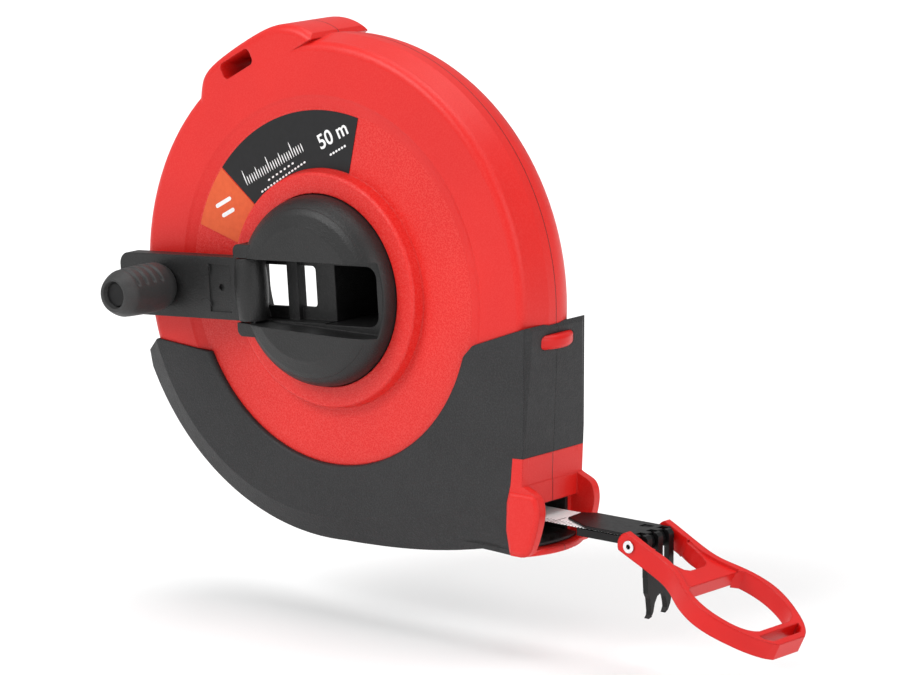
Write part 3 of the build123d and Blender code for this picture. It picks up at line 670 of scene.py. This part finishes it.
def make_print(ink):
    """The length, and marks in place of the small print."""
    print_text("print_length", "50 m", to_page(*LENGTH_AT), LENGTH_H, ink)
    outlines = under_length() + scale_marks()
    for first, last, count in DASH_ROWS:
        outlines += dash_row(first, last, count)
    outlines += [bar(*to_page(x, z), width, 0.0011) for x, z, width in ORANGE_BARS]
    slabs = [slab(outline, label_place, PRINT_T) for outline in outlines]
    slabs_piece("print_marks", slabs, ink)


# ---- small moulded details ---------------------------------------------------------
RIB_STEPS = 28
RIB_ROUND = 7
RIB_SUNK = 0.00005          # a rib's foot is this far inside its face


def arc_rib(name, centre, radius, start, end, half_w, height, base_y, material, body):
    """Low rounded rib along an arc on a face that looks towards -Y."""
    points = []
    for i in range(RIB_STEPS):
        angle = math.radians(start + (end - start) * i / (RIB_STEPS - 1))
        for j in range(RIB_ROUND):
            turn = math.pi * j / (RIB_ROUND - 1)
            reach = radius + half_w * math.cos(turn)
            x = centre[0] + reach * math.cos(angle)
            y = base_y + RIB_SUNK - height * math.sin(turn)
            z = centre[1] + reach * math.sin(angle)
            points.append((x, y, z))
    faces = grid_faces(RIB_STEPS, RIB_ROUND, False)
    last = (RIB_STEPS - 1) * RIB_ROUND
    faces.append(tuple(range(RIB_ROUND)))
    faces.append(tuple(last + i for i in range(RIB_ROUND - 1, -1, -1)))
    for i in range(RIB_STEPS - 1):
        here = i * RIB_ROUND
        ahead = here + RIB_ROUND
        faces.append((here, ahead, ahead + RIB_ROUND - 1, ahead - 1))
    return mesh_piece(name, points, faces, material, body)


ARM_MARK_BACK = 0.0149      # from the hinge barrel's axis out along the arm
ARM_MARK_SIDE = 0.0052
ARM_MARK_R = 0.0022
ARM_MARK_HALF_W = 0.0002
ARM_MARK_H = 0.00018


def make_arm_ribs(material):
    """Two round moulding marks on the arm, each shown in part."""
    low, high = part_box("knob_grip")
    knob = Vector(((low.x + high.x) / 2, (low.z + high.z) / 2))
    pin_low, pin_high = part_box("hinge_pin")
    hinge = Vector(((pin_low.x + pin_high.x) / 2, (pin_low.z + pin_high.z) / 2))
    along = (knob - hinge).normalized()
    across = Vector((-along.y, along.x))
    face_y = low.y + KNOB_STANDS
    for name, side, start, end in (("arm_mark_low", 1, 10, 130), ("arm_mark_high", -1, -100, 40)):
        centre = hinge + along * ARM_MARK_BACK + across * (side * ARM_MARK_SIDE)
        arc_rib(
            name, centre, ARM_MARK_R, start, end, ARM_MARK_HALF_W, ARM_MARK_H, face_y, material, "crank"
        )


SCREW_ANGLES = (14, 60, 100, 146, 190)      # degrees round the back of the case
SCREW_CIRCLE_R = 0.0554
CROSS_ARM = 0.0012
CROSS_HALF_W = 0.00026
CROSS_SUNK = 0.00002
CROSS_T = 0.00006


def cross_outline(arm, half):
    """A plus sign, as points round its edge."""
    return [
        (-arm, -half), (-half, -half), (-half, -arm), (half, -arm), (half, -half), (arm, -half),
        (arm, half), (half, half), (half, arm), (-half, arm), (-half, half), (-arm, half),
    ]


def make_screw_slots(material):
    """Painted shade: a dark cross sheet on the head of each case screw, standing for the shade in its
    cross recess.
    """
    head_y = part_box("case_screws")[1].y - CROSS_SUNK
    outline = cross_outline(CROSS_ARM, CROSS_HALF_W)
    slabs = []
    for angle in SCREW_ANGLES:
        x = SCREW_CIRCLE_R * math.cos(math.radians(angle))
        z = SCREW_CIRCLE_R * math.sin(math.radians(angle))
        slabs.append(slab(outline, lambda u, v, height: (x + u, head_y + height, z + v), CROSS_T))
    slabs_piece("screw_crosses", slabs, material)


# ---- stage and light ---------------------------------------------------------------
FLOOR_DROP = 0.012          # below the lowest point of the object
FLOOR_HALF = 6.0


def make_floor():
    """The white floor of the picture, a little below the object."""
    floor_z = cad_box[0].z - FLOOR_DROP
    mesh = bpy.data.meshes.new("floor")
    signs = ((-1, -1), (1, -1), (1, 1), (-1, 1))
    corners = [(x * FLOOR_HALF, y * FLOOR_HALF, floor_z) for x, y in signs]
    mesh.from_pydata(corners, [], [(0, 1, 2, 3)])
    floor = bpy.data.objects.new("floor", mesh)
    bpy.context.scene.collection.objects.link(floor)
    shader = Shader("floor_paint", 0.9, specular=0.1)
    tone = shader.noise(0.5, 2.0)
    shader.color(shader.ramp(tone, [(0.3, rgb(246, 246, 246)), (0.7, rgb(250, 250, 250))]))
    mesh.materials.append(shader.material)


def sun(name, come_from, strength, angle):
    """Soft even light from the direction of come_from."""
    data = bpy.data.lights.new(name, "SUN")
    data.energy = strength
    data.angle = math.radians(angle)
    lamp = bpy.data.objects.new(name, data)
    lamp.location = come_from
    lamp.rotation_mode = "QUATERNION"
    lamp.rotation_quaternion = (-Vector(come_from)).to_track_quat("-Z", "Y")
    bpy.context.scene.collection.objects.link(lamp)


WORLD_STRENGTH = 0.46
SUNS = (                    # name, where it comes from, strength, width in degrees
    ("key", (-0.55, -1.2, 1.15), 1.62, 30),
    ("side", (1.4, -0.35, 0.6), 0.85, 40),
    ("top", (0.1, 0.25, 1.5), 1.5, 50),
)


def make_light():
    """Even white surroundings and three soft suns."""
    world = bpy.data.worlds.new("studio")
    world.use_nodes = True
    background = world.node_tree.nodes["Background"]
    background.inputs["Color"].default_value = (1.0, 1.0, 1.0, 1.0)
    background.inputs["Strength"].default_value = WORLD_STRENGTH
    bpy.context.scene.world = world
    bpy.context.scene.view_settings.view_transform = "Standard"
    for name, come_from, strength, angle in SUNS:
        sun(name, come_from, strength, angle)


# ---- build -------------------------------------------------------------------------
make_camera()
BLACK = black_plastic()
BRIGHT = bright_steel()
DARK = dark_steel()
dress_cad_nodes(BLACK, BRIGHT, DARK)
make_tape(tape_paint())
make_knob(black_plastic("knob_plastic", 42, 50, 0.5, 0.0003))
make_print(film("white_ink", rgb(232, 232, 232), rgb(244, 244, 244)))
make_arm_ribs(BLACK)
make_screw_slots(film("slot_shadow", rgb(10, 10, 10), rgb(16, 16, 16)))
make_floor()
make_light()
